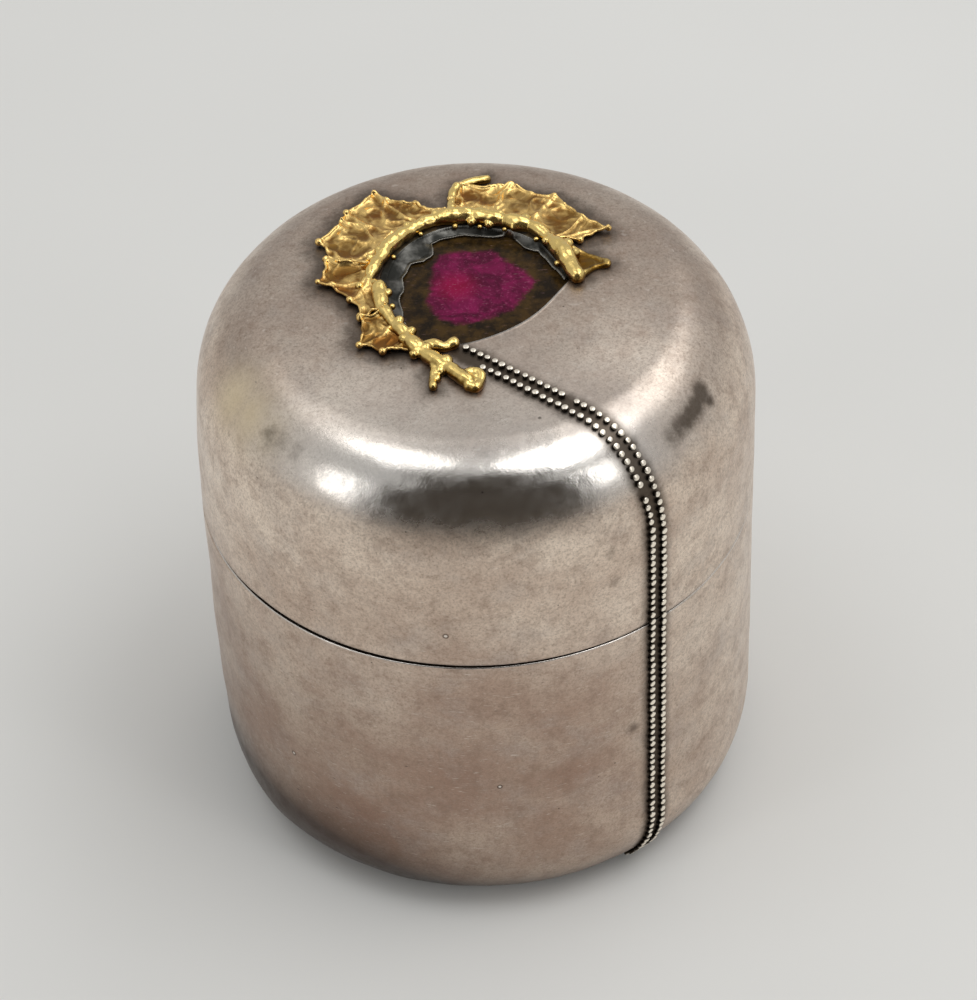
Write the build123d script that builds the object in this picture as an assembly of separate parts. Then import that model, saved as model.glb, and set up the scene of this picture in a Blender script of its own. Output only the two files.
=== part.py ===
from build123d import *
import os
from math import asin, atan, cos, radians, sin, sqrt

# Outer form of the closed box, in millimetres
outer_radius = 40.0
foot_round_width = 8.6
foot_round_height = 12.9
seam_z = 52.2
wall_top_z = 68.2
shoulder_width = 12.1
shoulder_height = 16.5
shoulder_sweep = 87.0

# Silver sheet, and the slip fit of the lid over the collar
lid_wall = 1.2
slip_clearance = 0.08
body_wall = lid_wall + slip_clearance
floor_thickness = 1.5
seat_gap = 0.02
lid_rim_bevel = 0.15
body_rim_bevel = 0.3
collar_wall = 0.8
collar_rise = 7.0
collar_depth = 9.0
collar_lead = 0.3

# Granules: two rows in upright planes that pass beside the axis of the box
granule_radius = 0.5
granule_pitch = 1.24
granule_gap = 0.01
row_heading = -37.6
row_offset = -10.64
row_spacing = 1.88
left_row_start = 9.8
right_row_start = 5.5
lowest_granule_z = 1.3
left_row_lost = 19
right_row_lost = 33
profile_step = 0.01

# Stone, its window, tray and torn bezel
window_lap = 0.8
tray_clearance = 0.05
tray_wall = 0.8
tray_floor = 0.8
stone_thickness = 3.0
bezel_thickness = 0.6
bezel_clearance = 0.05

# Gold rods and leaves lying on the crown
rod_seat = 0.7
rod_waist = 0.9
leaf_thickness = 0.8
leaf_scallop = 0.7
knob_radius = 0.75
knob_height = 0.45
droplet_radius = 0.55
droplet_height = 0.4

# Plan positions on the crown, seen from above
window_centre = (1.0, 2.0)
window_lower = [(14.2, 3.0), (9.3, -4.1), (4.5, -8.1), (-1.5, -10.4), (-7.0, -9.8)]
window_upper = [(-7.0, -9.8), (-11.0, -4.0), (-12.0, 3.0), (-9.6, 10.6), (-3.5, 15.3), (3.0, 15.0),
                (9.6, 11.6), (14.2, 3.0)]
torn_edge = [(-6.4, -9.4), (-8.5, -6.7), (-9.2, -4.1), (-9.8, -0.6), (-8.9, 1.4), (-9.2, 3.6), (-8.3, 7.0),
             (-6.4, 7.2), (-4.9, 9.0), (-5.3, 11.2), (-3.9, 12.5), (-0.6, 13.2), (2.7, 12.5), (6.7, 12.7),
             (7.0, 10.9), (8.2, 9.5), (9.6, 8.9), (11.1, 6.6), (13.6, 2.9)]
below_window = [(16.0, 0.0), (12.0, -6.0), (4.0, -13.0), (-6.0, -14.0)]

# Gold rods: plan position of each swelling, and its radius
arc_line = [(15.4, 2.2, 1.15), (14.3, 4.8, 1.1), (13.0, 8.1, 1.25), (11.3, 11.6, 1.05), (9.2, 14.0, 1.1),
            (6.4, 15.3, 1.15), (3.4, 16.2, 1.25), (0.3, 17.1, 1.3), (-3.0, 17.0, 1.15), (-6.2, 15.7, 1.1),
            (-9.3, 13.4, 1.2), (-11.9, 9.9, 1.1), (-13.5, 5.9, 1.0), (-14.4, 3.2, 0.95)]
branch_line = [(-12.6, 1.2, 1.15), (-12.4, -2.4, 0.95), (-10.8, -6.0, 1.0), (-8.9, -9.0, 1.05),
               (-7.4, -11.8, 1.15), (-5.2, -14.2, 1.2), (-2.5, -16.6, 1.25), (-0.2, -19.5, 1.3)]
fork_root = 4
fork_line = [(-4.9, -11.0, 0.8), (-2.4, -11.1, 0.95)]
spur_root = 5
spur_line = [(-5.5, -17.0, 0.65), (-5.5, -19.2, 0.7)]
prong_line = [(-2.3, 18.6, 0.8), (-2.0, 22.0, 0.65), (-1.0, 25.0, 0.75), (3.2, 26.6, 0.6)]
loop_line = [(14.6, 9.0, 0.6), (17.2, 7.6, 0.5), (19.5, 5.7, 0.65), (17.7, 4.9, 0.5), (15.8, 3.7, 0.6)]

# Gold leaves: outer corners in turn, then the edge that runs under the rods
left_leaf_outer = [(-3.2, 18.4), (-7.4, 21.0), (-13.4, 24.0), (-17.3, 19.6), (-21.2, 13.1), (-20.0, 8.4),
                   (-14.2, 6.6)]
left_leaf_inner = [(-12.2, 9.4), (-9.3, 13.4), (-6.2, 15.7), (-3.0, 17.0)]
side_leaf_outer = [(-14.9, 5.6), (-20.5, 6.9), (-21.3, 4.0), (-16.8, -0.5), (-15.4, -4.4), (-12.4, -3.2)]
side_leaf_inner = [(-12.6, 1.4), (-14.3, 3.2)]
lower_leaf_outer = [(-12.6, -4.0), (-15.4, -5.4), (-15.5, -10.2), (-12.3, -11.8), (-7.6, -12.2)]
lower_leaf_inner = [(-8.9, -8.8), (-10.6, -6.4)]
right_leaf_outer = [(11.8, 10.6), (15.8, 10.9), (20.0, 13.6), (12.6, 21.6), (6.5, 24.6), (0.2, 24.3),
                    (-1.9, 20.6), (-1.8, 17.2)]
right_leaf_inner = [(0.3, 17.2), (3.4, 16.2), (6.4, 15.4), (9.2, 14.3)]

# Links of the rods that carry a droplet on the side towards the stone
arc_droplets = [1, 3, 5, 6, 8, 10, 11]
branch_droplets = [1, 6]

collar_radius = outer_radius - body_wall
lid_rim_z = seam_z + seat_gap
shoulder_centre = outer_radius - shoulder_width
foot_centre = outer_radius - foot_round_width


class Dome:
    """Section of the lid's dome, drawn at a distance inside its outer surface."""

    def __init__(self, inset):
        sweep_angle = radians(shoulder_sweep)
        self.radius = outer_radius - inset
        self.across = shoulder_width - inset
        self.rise = shoulder_height - inset
        self.join_r = shoulder_centre + self.across * cos(sweep_angle)
        self.join_z = wall_top_z + self.rise * sin(sweep_angle)
        self.slope = atan(self.rise * cos(sweep_angle) / (self.across * sin(sweep_angle)))
        self.crown_radius = self.join_r / sin(self.slope)
        self.crown_centre_z = self.join_z - self.crown_radius * cos(self.slope)
        self.top_z = self.crown_centre_z + self.crown_radius

    def crown_point(self, angle):
        return (self.crown_radius * sin(angle), self.crown_centre_z + self.crown_radius * cos(angle))

    def solid(self, low_z, bevel=0.0):
        shoulder = EllipticalCenterArc((shoulder_centre, wall_top_z), self.across, self.rise,
                                       arc_size=shoulder_sweep)
        crown = ThreePointArc(shoulder @ 1, self.crown_point(self.slope / 2), (0, self.top_z))
        rim = [(self.radius, low_z)]
        if bevel:
            rim = [(self.radius - bevel, low_z), (self.radius, low_z + bevel)]
        lower = Polyline((0, self.top_z), (0, low_z), *rim, shoulder @ 0)
        return revolve(Plane.XZ * make_face([shoulder, crown, lower]), Axis.Z)

    def crown_ball(self, lift=0.0):
        return Pos(0, 0, self.crown_centre_z) * Sphere(self.crown_radius + lift)


outside = Dome(0.0)
inside = Dome(lid_wall)


def plan_face(points):
    return make_face(Polyline(*points, close=True))


def grown(points, distance):
    outline = []
    for point in points:
        away = Vector(*point) - Vector(*window_centre)
        outline.append(Vector(*point) + away.normalized() * distance)
    return outline


def window_face(distance=0.0):
    return make_face([Spline(*grown(window_lower, distance)), Spline(*grown(window_upper, distance))])


def upright(face, low_z, high_z):
    return extrude(Pos(0, 0, low_z) * face, high_z - low_z, dir=(0, 0, 1))


def largest(shape):
    return max(shape.solids(), key=lambda solid: solid.volume)


def body_shell():
    foot = EllipticalCenterArc((foot_centre, foot_round_height), foot_round_width, foot_round_height, -90)
    upper = Polyline(foot @ 1, (outer_radius, seam_z - body_rim_bevel),
                     (outer_radius - body_rim_bevel, seam_z), (0, seam_z), (0, 0), foot @ 0)
    block = revolve(Plane.XZ * make_face([foot, upper]), Axis.Z)
    well_foot = EllipticalCenterArc((foot_centre, foot_round_height), foot_round_width - body_wall,
                                    foot_round_height - floor_thickness, -90)
    well_upper = Polyline(well_foot @ 1, (collar_radius, seam_z + body_wall), (0, seam_z + body_wall),
                          (0, floor_thickness), well_foot @ 0)
    well = revolve(Plane.XZ * make_face([well_foot, well_upper]), Axis.Z)
    return block - well


def body_collar():
    low_z = seam_z - collar_depth
    high_z = seam_z + collar_rise
    section = Polyline((collar_radius - collar_wall, low_z), (collar_radius, low_z),
                       (collar_radius, high_z - collar_lead), (collar_radius - collar_lead, high_z),
                       (collar_radius - collar_wall, high_z), close=True)
    return revolve(Plane.XZ * make_face(section), Axis.Z)


def lid_shell():
    shell = outside.solid(lid_rim_z, lid_rim_bevel) - inside.solid(lid_rim_z - lid_wall)
    return shell - upright(window_face(), wall_top_z, outside.top_z + lid_wall)


def tourmaline_slice():
    blank = window_face(window_lap)
    return upright(blank, inside.top_z - stone_thickness, outside.top_z) & inside.crown_ball()


def stone_tray():
    pocket = window_face(window_lap + tray_clearance)
    rim = window_face(window_lap + tray_clearance + tray_wall)
    stone_low_z = inside.top_z - stone_thickness
    block = upright(rim, stone_low_z - tray_floor, outside.top_z)
    return (block - upright(pocket, stone_low_z, outside.top_z)) & inside.crown_ball()


def ragged_bezel():
    blank = window_face(-bezel_clearance) - plan_face(torn_edge + below_window)
    sheet = upright(blank, wall_top_z, outside.top_z) & inside.crown_ball(bezel_thickness)
    return largest(sheet - inside.crown_ball())


def on_crown(point, height):
    x, y = point
    return (x, y, outside.crown_centre_z + sqrt(outside.crown_radius**2 - x**2 - y**2) + height)


def link(start, end, start_radius, end_radius):
    along = end - start
    if start_radius == end_radius:
        body = Cylinder(start_radius, along.length, align=(Align.CENTER, Align.CENTER, Align.MIN))
    else:
        body = Cone(start_radius, end_radius, along.length, align=(Align.CENTER, Align.CENTER, Align.MIN))
    return Plane(start, z_dir=along) * body


def swelling(x, y, radius):
    return Vector(*on_crown((x, y), rod_seat * radius)), radius


def rod(points, root=None):
    swellings = [swelling(*point) for point in points]
    solids = [Pos(*centre) * Sphere(radius) for centre, radius in swellings]
    for (start, start_radius), (end, end_radius) in zip(swellings, swellings[1:]):
        solids.append(link(start, end, rod_waist * start_radius, rod_waist * end_radius))
    if root:
        foot_waist = rod_waist * swellings[0][1]
        solids.append(link(swelling(*root)[0], swellings[0][0], foot_waist, foot_waist))
    return solids


def joined(solids):
    return solids[0] + solids[1:]


def seated(shape):
    return shape - outside.crown_ball()


def clear_of(shape, others):
    for other in others:
        shape = shape - other
    return largest(shape)


def leaf(outer, inner):
    sides = [SagittaArc(start, end, leaf_scallop) for start, end in zip(outer, outer[1:])]
    back = Polyline(outer[-1], *inner, outer[0])
    plate = upright(make_face(sides + [back]), wall_top_z, outside.top_z + lid_wall)
    plate = (plate & outside.crown_ball(leaf_thickness)) - outside.crown_ball()
    for corner in outer[1:-1]:
        plate = plate + seated(Pos(*on_crown(corner, knob_height)) * Sphere(knob_radius))
    return plate


def droplet(line, index):
    start = Vector(*line[index][:2])
    end = Vector(*line[index + 1][:2])
    along = (end - start).normalized()
    reach = rod_waist * max(line[index][2], line[index + 1][2]) + droplet_radius + granule_gap
    centre = (start + end) * 0.5 + Vector(-along.Y, along.X) * reach
    return largest(seated(Pos(*on_crown((centre.X, centre.Y), droplet_height)) * Sphere(droplet_radius)))


def gold_pieces():
    arc = seated(joined(rod(arc_line)))
    pieces = {"gold_arc": largest(arc)}
    prongs = rod(fork_line, branch_line[fork_root]) + rod(spur_line, branch_line[spur_root])
    branch = seated(joined(rod(branch_line) + prongs))
    pieces["gold_branch"] = clear_of(branch, [arc])
    pieces["gold_top_prong"] = clear_of(seated(joined(rod(prong_line))), [arc])
    pieces["gold_right_loop"] = clear_of(seated(joined(rod(loop_line))), [arc])
    leaves = {"gold_left_wing": (left_leaf_outer, left_leaf_inner),
              "gold_side_wing": (side_leaf_outer, side_leaf_inner),
              "gold_lower_wing": (lower_leaf_outer, lower_leaf_inner),
              "gold_right_wing": (right_leaf_outer, right_leaf_inner)}
    for name, (outer, inner) in leaves.items():
        pieces[name] = clear_of(leaf(outer, inner), list(pieces.values()))
    beads = [droplet(arc_line, index) for index in arc_droplets]
    beads += [droplet(branch_line, index) for index in branch_droplets]
    pieces["gold_droplets"] = Compound(children=beads)
    return pieces


def lid_profile():
    z = lid_rim_z
    while z < wall_top_z:
        yield outer_radius, z, 1.0, 0.0
        z += profile_step
    angle = 0.0
    while angle < radians(shoulder_sweep):
        out = cos(angle) / shoulder_width
        up = sin(angle) / shoulder_height
        size = sqrt(out**2 + up**2)
        r = shoulder_centre + shoulder_width * cos(angle)
        yield r, wall_top_z + shoulder_height * sin(angle), out / size, up / size
        angle += profile_step / shoulder_height
    r = outside.join_r
    while r > 0:
        lean = asin(r / outside.crown_radius)
        yield r, outside.crown_point(lean)[1], sin(lean), cos(lean)
        r -= profile_step


def body_profile():
    z = seam_z
    while z > foot_round_height:
        yield outer_radius, z, 1.0, 0.0
        z -= profile_step
    angle = 0.0
    while angle < radians(90):
        out = cos(angle) / foot_round_width
        down = sin(angle) / foot_round_height
        size = sqrt(out**2 + down**2)
        r = foot_centre + foot_round_width * cos(angle)
        yield r, foot_round_height * (1 - sin(angle)), out / size, -down / size
        angle += profile_step / foot_round_height


def granule_row(profile, sideways, shortest=0.0, lost=None):
    heading = Vector(cos(radians(row_heading)), sin(radians(row_heading)), 0)
    across = Vector(-heading.Y, heading.X, 0)
    granules = []
    last = None
    travelled = granule_pitch / 2
    for r, z, out, up in profile:
        if abs(sideways) >= r:
            break
        ahead = sqrt(r**2 - sideways**2)
        if ahead < shortest or z < lowest_granule_z:
            break
        flat = heading * ahead + across * sideways
        point = flat + Vector(0, 0, z)
        normal = flat * (out / r) + Vector(0, 0, up)
        if last is not None:
            travelled += (point - last).length
        last = point
        if travelled >= granule_pitch:
            travelled -= granule_pitch
            granules.append(point + normal * (granule_radius + granule_gap))
    if lost is not None:
        granules.pop(lost)
    return Compound(children=[Pos(*centre) * Sphere(granule_radius) for centre in granules])


def build():
    left = row_offset - row_spacing / 2
    right = row_offset + row_spacing / 2
    pieces = {"body_shell": body_shell(),
              "body_collar": body_collar(),
              "body_granules_left": granule_row(body_profile(), left),
              "body_granules_right": granule_row(body_profile(), right),
              "lid_shell": lid_shell(),
              "stone_tray": stone_tray(),
              "tourmaline_slice": tourmaline_slice(),
              "ragged_bezel": ragged_bezel(),
              "lid_granules_left": granule_row(lid_profile(), left, left_row_start, left_row_lost),
              "lid_granules_right": granule_row(lid_profile(), right, right_row_start, right_row_lost)}
    pieces.update(gold_pieces())
    return pieces


os.makedirs("parts", exist_ok=True)
for name, shape in build().items():
    export_step(shape, f"parts/{name}.step")
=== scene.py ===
import math
import random

import bmesh
import bpy
import numpy as np
from mathutils import Matrix, Vector, noise


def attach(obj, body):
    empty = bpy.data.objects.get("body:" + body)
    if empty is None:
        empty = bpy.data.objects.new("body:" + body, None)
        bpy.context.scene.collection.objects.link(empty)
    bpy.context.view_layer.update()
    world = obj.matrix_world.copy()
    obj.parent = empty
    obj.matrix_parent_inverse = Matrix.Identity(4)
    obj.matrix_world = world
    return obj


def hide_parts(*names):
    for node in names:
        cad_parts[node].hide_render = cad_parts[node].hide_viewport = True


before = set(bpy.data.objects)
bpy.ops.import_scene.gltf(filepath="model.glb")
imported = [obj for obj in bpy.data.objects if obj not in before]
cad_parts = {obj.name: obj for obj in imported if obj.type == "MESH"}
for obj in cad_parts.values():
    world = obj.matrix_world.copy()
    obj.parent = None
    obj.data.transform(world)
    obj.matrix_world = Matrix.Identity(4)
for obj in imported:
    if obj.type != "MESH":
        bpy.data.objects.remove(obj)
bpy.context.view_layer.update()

# One millimetre in metres
MM = 0.001

# Form of the box in millimetres, as in the solids
OUTER_RADIUS = 40.0
FOOT_WIDTH = 8.6
FOOT_HEIGHT = 12.9
SEAM_Z = 52.2
WALL_TOP_Z = 68.2
SHOULDER_WIDTH = 12.1
SHOULDER_HEIGHT = 16.5
SHOULDER_SWEEP = math.radians(87.0)
LID_WALL = 1.2
SLIP_CLEARANCE = 0.08
BODY_WALL = LID_WALL + SLIP_CLEARANCE
BODY_FLOOR = 1.5
COLLAR_CLEARANCE = 0.01
COLLAR_RADIUS = OUTER_RADIUS - BODY_WALL - COLLAR_CLEARANCE
COLLAR_WALL = 0.8
COLLAR_RISE = 7.0
COLLAR_DEPTH = 9.0
COLLAR_LEAD = 0.3
STONE_THICKNESS = 3.0
STONE_LAP = 0.8

# Gap at the seam: widest at the left of the front, a hairline at the right
GAP_SMALL = 0.03
GAP_EXTRA = 0.55
GAP_HEADING = math.radians(200.0)
LID_RIM_BEVEL = 0.1
# Painted dark band on the lid's rim face: partly grime, partly the shade in the seam's gap
LID_GRIME_AND_SHADE_IN = 1.3 * LID_RIM_BEVEL

# Rise of the rubbed edge of the window
EDGE_RISE = 0.09

# Worn lip at the top of the body, and the slope behind it, painted dark as grime and as the shade inside
# the seam's gap
LIP_WIDTH = 0.17
LIP_HEIGHT = 0.22
LIP_DROP = 0.16
LIP_GRIME_AND_SHADE_IN = 1.1 * LIP_WIDTH
GRIME_AND_SHADE_REACH = 0.4
GRIME_AND_SHADE_DEPTH = 0.8

# Grime and painted shade round the collar, where it shows through the seam's gap: height over the seam and
# amount
COLLAR_GRIME_AND_SHADE = [(-0.6, 0.0), (-0.1, 1.0), (0.7, 1.0), (1.2, 0.0)]

# Columns of quads round the box, rings along its parts, and the smallest ring
COLUMNS = 720
CROWN_RINGS = 76
SHOULDER_RINGS = 60
LID_WALL_RINGS = 30
BODY_WALL_RINGS = 60
FOOT_RINGS = 44
LIP_RINGS = 6
INNER_ROUND_RINGS = 24
INNER_CROWN_RINGS = 4
SMALLEST_RING = 0.02

# Unevenness of the hand-raised walls: height and length of its waves, and a seed
WAVES = [(0.1, 19.0, 3.1), (0.07, 6.5, 7.7), (0.012, 2.4, 1.3)]

# Granule rows: slip and shift in millimetres, seat, wear, sizes and stretch as shares of the radius
GRANULE_RADIUS = 0.5
GRANULE_PITCH = 1.24
GRANULE_LOWEST_Z = 1.3
GRANULE_WEAR = 0.7
GRANULE_WEAR_FROM = 0.45
GRANULE_SEAT = 0.72
GRANULE_SLIP = 0.06
GRANULE_SHIFT = 0.07
GRANULE_SIZES = (0.9, 1.06)
GRANULE_STRETCH = (0.94, 1.04)
ROW_HEADING = math.radians(-37.6)
ROW_OFFSET = -10.64
ROW_SPACING = 1.88
LEFT_ROW = ROW_OFFSET - ROW_SPACING / 2
RIGHT_ROW = ROW_OFFSET + ROW_SPACING / 2
LEFT_ROW_START = 9.8
RIGHT_ROW_START = 5.5

# Each row: side, distance beside the axis, start, granule lost on the lid, and seed
ROWS = [("left", LEFT_ROW, LEFT_ROW_START, 19, 1), ("right", RIGHT_ROW, RIGHT_ROW_START, 33, 2)]

# Window over the stone, seen from above
WINDOW_CENTRE = np.array([1.0, 2.0])
WINDOW_LOWER = [(14.2, 3.0), (9.3, -4.1), (4.5, -8.1), (-1.5, -10.4), (-7.0, -9.8)]
WINDOW_UPPER = [(-7.0, -9.8), (-11.0, -4.0), (-12.0, 3.0), (-9.6, 10.6), (-3.5, 15.3), (3.0, 15.0),
                (9.6, 11.6), (14.2, 3.0)]
TORN_EDGE = [(-6.6, -9.2), (-8.6, -6.1), (-9.4, -3.1), (-9.9, 0.6), (-9.2, 3.0), (-9.4, 5.2), (-8.2, 8.4),
             (-6.4, 8.8), (-5.0, 10.4), (-5.2, 12.8), (-3.4, 13.9), (-0.4, 14.5), (2.7, 14.0), (5.9, 13.9),
             (7.2, 12.3), (8.2, 10.9), (9.8, 10.2), (11.2, 7.6), (13.2, 3.6)]
STONE_CORE = [(-5.1, 7.5), (-4.1, 10.6), (-1.1, 11.2), (3.4, 10.9), (6.2, 7.6), (9.4, 4.0), (8.0, 1.7),
              (5.9, -1.9), (3.0, -3.7), (0.4, -4.6), (-2.1, -4.8), (-4.4, -3.4), (-5.9, -0.5), (-5.6, 2.7)]
STONE_HEART = (-2.0, 3.3)

# Gold rods seen from above: x, y and half thickness
ARC = [(15.1, 2.8, 1.15), (14.3, 4.8, 1.15), (13.0, 8.1, 1.35), (11.3, 11.6, 1.05), (9.2, 14.0, 1.1),
       (6.4, 15.3, 1.15), (3.4, 16.2, 1.25), (0.3, 17.1, 1.35), (-3.0, 17.0, 1.2), (-6.2, 15.7, 1.1),
       (-9.3, 13.4, 1.2), (-11.9, 9.9, 1.1), (-13.5, 5.9, 1.0), (-14.4, 3.2, 0.95)]
BRANCH = [(-12.6, 1.2, 1.15), (-12.4, -2.4, 0.95), (-10.8, -6.0, 1.0), (-8.9, -9.0, 1.05),
          (-7.4, -11.8, 1.15), (-5.2, -14.2, 1.1), (-2.5, -16.6, 1.1), (-0.8, -18.7, 0.95)]
FLARE = [(-1.4, -17.2, 0.9), (0.2, -16.9, 0.85), (1.1, -17.6, 0.7), (1.0, -18.9, 0.7), (0.2, -19.7, 0.85),
         (-0.8, -19.3, 0.9)]
FORK = [(-7.4, -11.8, 0.9), (-5.5, -11.1, 1.0), (-4.0, -11.5, 0.8), (-2.5, -10.95, 0.95)]
SPUR = [(-5.2, -14.2, 0.8), (-5.5, -17.0, 0.55), (-5.5, -19.2, 0.65)]
PRONG = [(-2.3, 18.6, 0.8), (-2.0, 22.0, 0.7), (-1.0, 25.0, 0.8), (3.2, 26.6, 0.55)]
LOOP = [(14.6, 9.0, 0.6), (17.2, 7.6, 0.42), (19.5, 5.7, 0.55), (17.7, 4.9, 0.4), (15.8, 3.7, 0.55)]

# Lumps on the rods: x, y, height over the crown and radius
ARC_LUMPS = [(-8.6, 14.9, 1.0, 0.75), (-13.9, 8.2, 0.9, 0.6), (0.5, 15.7, 0.6, 0.7), (3.0, 15.2, 0.5, 0.7),
             (6.6, 14.3, 0.5, 0.75), (8.3, 15.7, 1.0, 0.8), (13.9, 9.4, 0.9, 1.0), (14.9, 7.6, 0.8, 0.9),
             (-1.2, 18.2, 0.8, 0.8), (-4.6, 17.4, 1.1, 0.7), (11.0, 10.4, 0.9, 0.7), (1.8, 17.4, 1.2, 0.8),
             (-12.6, 9.6, 1.0, 0.8), (-15.4, 2.4, 0.6, 0.7), (-13.4, 2.6, 0.7, 0.8), (4.6, 16.7, 1.0, 0.8)]
BRANCH_LUMPS = [(-13.2, 2.4, 0.8, 0.7), (-9.9, -6.2, 1.1, 0.75), (-9.3, -9.8, 0.9, 0.85),
                (-6.3, -12.0, 1.0, 0.85), (-11.4, 0.2, 0.9, 0.7), (-8.0, -13.0, 0.8, 0.7),
                (-8.3, -8.4, 0.9, 0.8), (-4.5, -16.2, 0.4, 0.8), (-4.9, -17.4, 0.3, 0.65),
                (-3.6, -14.8, 0.9, 1.0), (-0.1, -17.8, 0.3, 0.9), (0.2, -18.6, 0.3, 0.8)]
PRONG_LUMPS = [(-1.4, 24.4, 0.6, 0.85), (-2.2, 19.4, 0.5, 0.8), (1.4, 26.2, 0.5, 0.6)]

# Small gold beads seen from above
DROPLETS = [(-10.6, 8.7), (-6.7, 13.7), (-1.8, 15.2), (1.7, 14.9), (5.2, 14.0), (9.6, 11.5), (12.4, 5.9),
            (-10.9, -2.2), (-0.4, -16.8)]

# Gold leaves seen from above: free edge, then the side along the rod
LEFT_LEAF = [(-3.2, 18.4), (-7.4, 21.0), (-13.4, 24.0), (-17.3, 19.6), (-21.2, 13.1), (-20.0, 8.4),
             (-14.2, 6.4)]
LEFT_SIDE = [(-12.2, 9.4), (-9.3, 13.4), (-6.2, 15.7), (-3.0, 17.0)]
SIDE_LEAF = [(-14.2, 7.2), (-20.2, 8.9), (-21.3, 4.0), (-16.8, -0.5), (-15.4, -4.6), (-12.2, -3.6)]
SIDE_SIDE = [(-12.6, 1.4), (-14.3, 3.2)]
LOWER_LEAF = [(-11.9, -2.8), (-15.4, -4.2), (-15.5, -10.2), (-12.3, -11.8), (-7.6, -12.2)]
LOWER_SIDE = [(-8.9, -8.8), (-10.6, -6.4)]
RIGHT_LEAF = [(11.8, 10.6), (15.8, 10.9), (20.0, 13.6), (12.6, 21.6), (6.5, 24.6), (-0.8, 24.8),
              (-2.3, 21.4), (-2.0, 17.2)]
RIGHT_SIDE = [(0.3, 17.2), (3.4, 16.2), (6.4, 15.4), (9.2, 14.3)]

# Each leaf: name, free edge, side along the rod, seed and painted light, a brightness for the light that
# falls on it
LEAVES = [("left", LEFT_LEAF, LEFT_SIDE, 21, 0.17), ("side", SIDE_LEAF, SIDE_SIDE, 22, -0.08),
          ("lower", LOWER_LEAF, LOWER_SIDE, 23, -0.1), ("right", RIGHT_LEAF, RIGHT_SIDE, 24, 0.17)]

# Slight dents of the walls: depth outwards, azimuth, spread in degrees, height, spread
DENTS = [(-0.4, 180.0, 24.0, 70.0, 5.0), (0.2, 182.0, 24.0, 50.0, 8.0), (0.22, 184.0, 24.0, 31.0, 7.0),
         (-0.38, 192.0, 18.0, 12.5, 5.0), (0.3, 216.0, 12.0, 6.0, 3.0), (-0.3, 275.0, 30.0, 3.0, 3.0)]

# Dark patches and a yellow patch: place, reach and strength
DARK_PATCHES = [(32.6, -17.6, 80.2, 1.8, 0.8), (31.2, -17.4, 81.0, 2.2, 0.9), (30.2, -19.4, 80.6, 2.0, 0.85),
           (29.4, -20.8, 80.5, 2.1, 0.8), (28.6, -22.2, 80.3, 2.2, 0.75), (27.5, -23.6, 80.2, 2.3, 0.65),
           (26.4, -24.9, 80.0, 2.4, 0.5), (-28.0, -22.3, 80.7, 2.6, 0.5), (-26.4, -24.0, 80.7, 2.6, 0.45),
           (-24.6, -25.9, 80.7, 2.6, 0.4), (17.5, -35.9, 69.0, 1.8, 0.45), (18.3, -35.5, 63.5, 1.8, 0.4),
           (20.7, -34.2, 33.0, 2.2, 0.45), (21.5, -33.6, 28.0, 2.0, 0.35)]
YELLOW_PATCHES = [(-33.2, -14.2, 81.0, 4.4, 0.65), (-31.0, -18.2, 81.0, 4.2, 0.6), (-28.6, -21.6, 81.0, 3.6, 0.35)]

# Paler areas, partly cleaner silver and partly painted highlight and light, and brown ones on the body,
# partly brown tarnish and partly painted dark reflection: place, reach and strength
PALES_AND_HIGHLIGHTS = [(22.0, -12.5, 83.8, 9.0, 0.9), (-18.0, -22.4, 83.5, 12.0, 1.0), (8.0, -24.0, 83.5, 8.0, 0.4),
         (-22.7, -12.5, 83.8, 7.0, 0.55), (-18.5, -35.5, 44.0, 8.0, 0.45), (30.5, -25.9, 40.6, 12.0, 0.5),
         (-7.0, -39.4, 23.5, 5.0, 0.3), (-1.8, -40.0, 15.0, 6.0, 0.3)]
BROWNS_AND_REFLECTIONS = [(-2.0, -40.0, 45.0, 12.0, 0.5), (11.0, -38.5, 42.0, 11.0, 0.45), (-5.0, -39.7, 30.0, 13.0, 0.65),
          (-18.0, -35.5, 16.0, 12.0, 0.7), (15.0, -37.0, 22.0, 9.0, 0.35), (12.4, -38.0, 28.0, 8.0, 0.55),
          (8.0, -39.0, 18.0, 8.0, 0.5), (-33.2, -22.3, 24.0, 9.0, 0.45)]

# Small struck rings: place and radius
RINGS = [(-5.2, -39.7, 58.2, 0.36), (-28.3, -28.3, 24.2, 0.34), (1.4, -40.0, 27.9, 0.32)]


# Curves and surfaces

FINE_STEPS = 40


def curve(points, steps):
    """Smooth run of points through the given ones."""
    p = np.asarray(points, float)
    p = np.vstack([2 * p[0] - p[1], p, 2 * p[-1] - p[-2]])
    t = np.linspace(0, 1, steps, endpoint=False)[:, None]
    runs = []
    for a, b, c, d in zip(p, p[1:], p[2:], p[3:]):
        cubic = (2 * a - 5 * b + 4 * c - d) * t**2 + (3 * b - a - 3 * c + d) * t**3
        runs.append(b + 0.5 * (c - a) * t + 0.5 * cubic)
    return np.vstack(runs + [p[-2:-1]])


def around(columns):
    return np.arange(columns) * 2 * math.pi / columns


def run_along(points):
    """Length of a line of points up to each of them."""
    return np.concatenate([[0], np.cumsum(np.linalg.norm(np.diff(points, axis=0), axis=1))])


def at(place, run, table):
    """Row of a table at a place between those of its rows."""
    return np.array([np.interp(place, run, column) for column in table.T])


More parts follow.
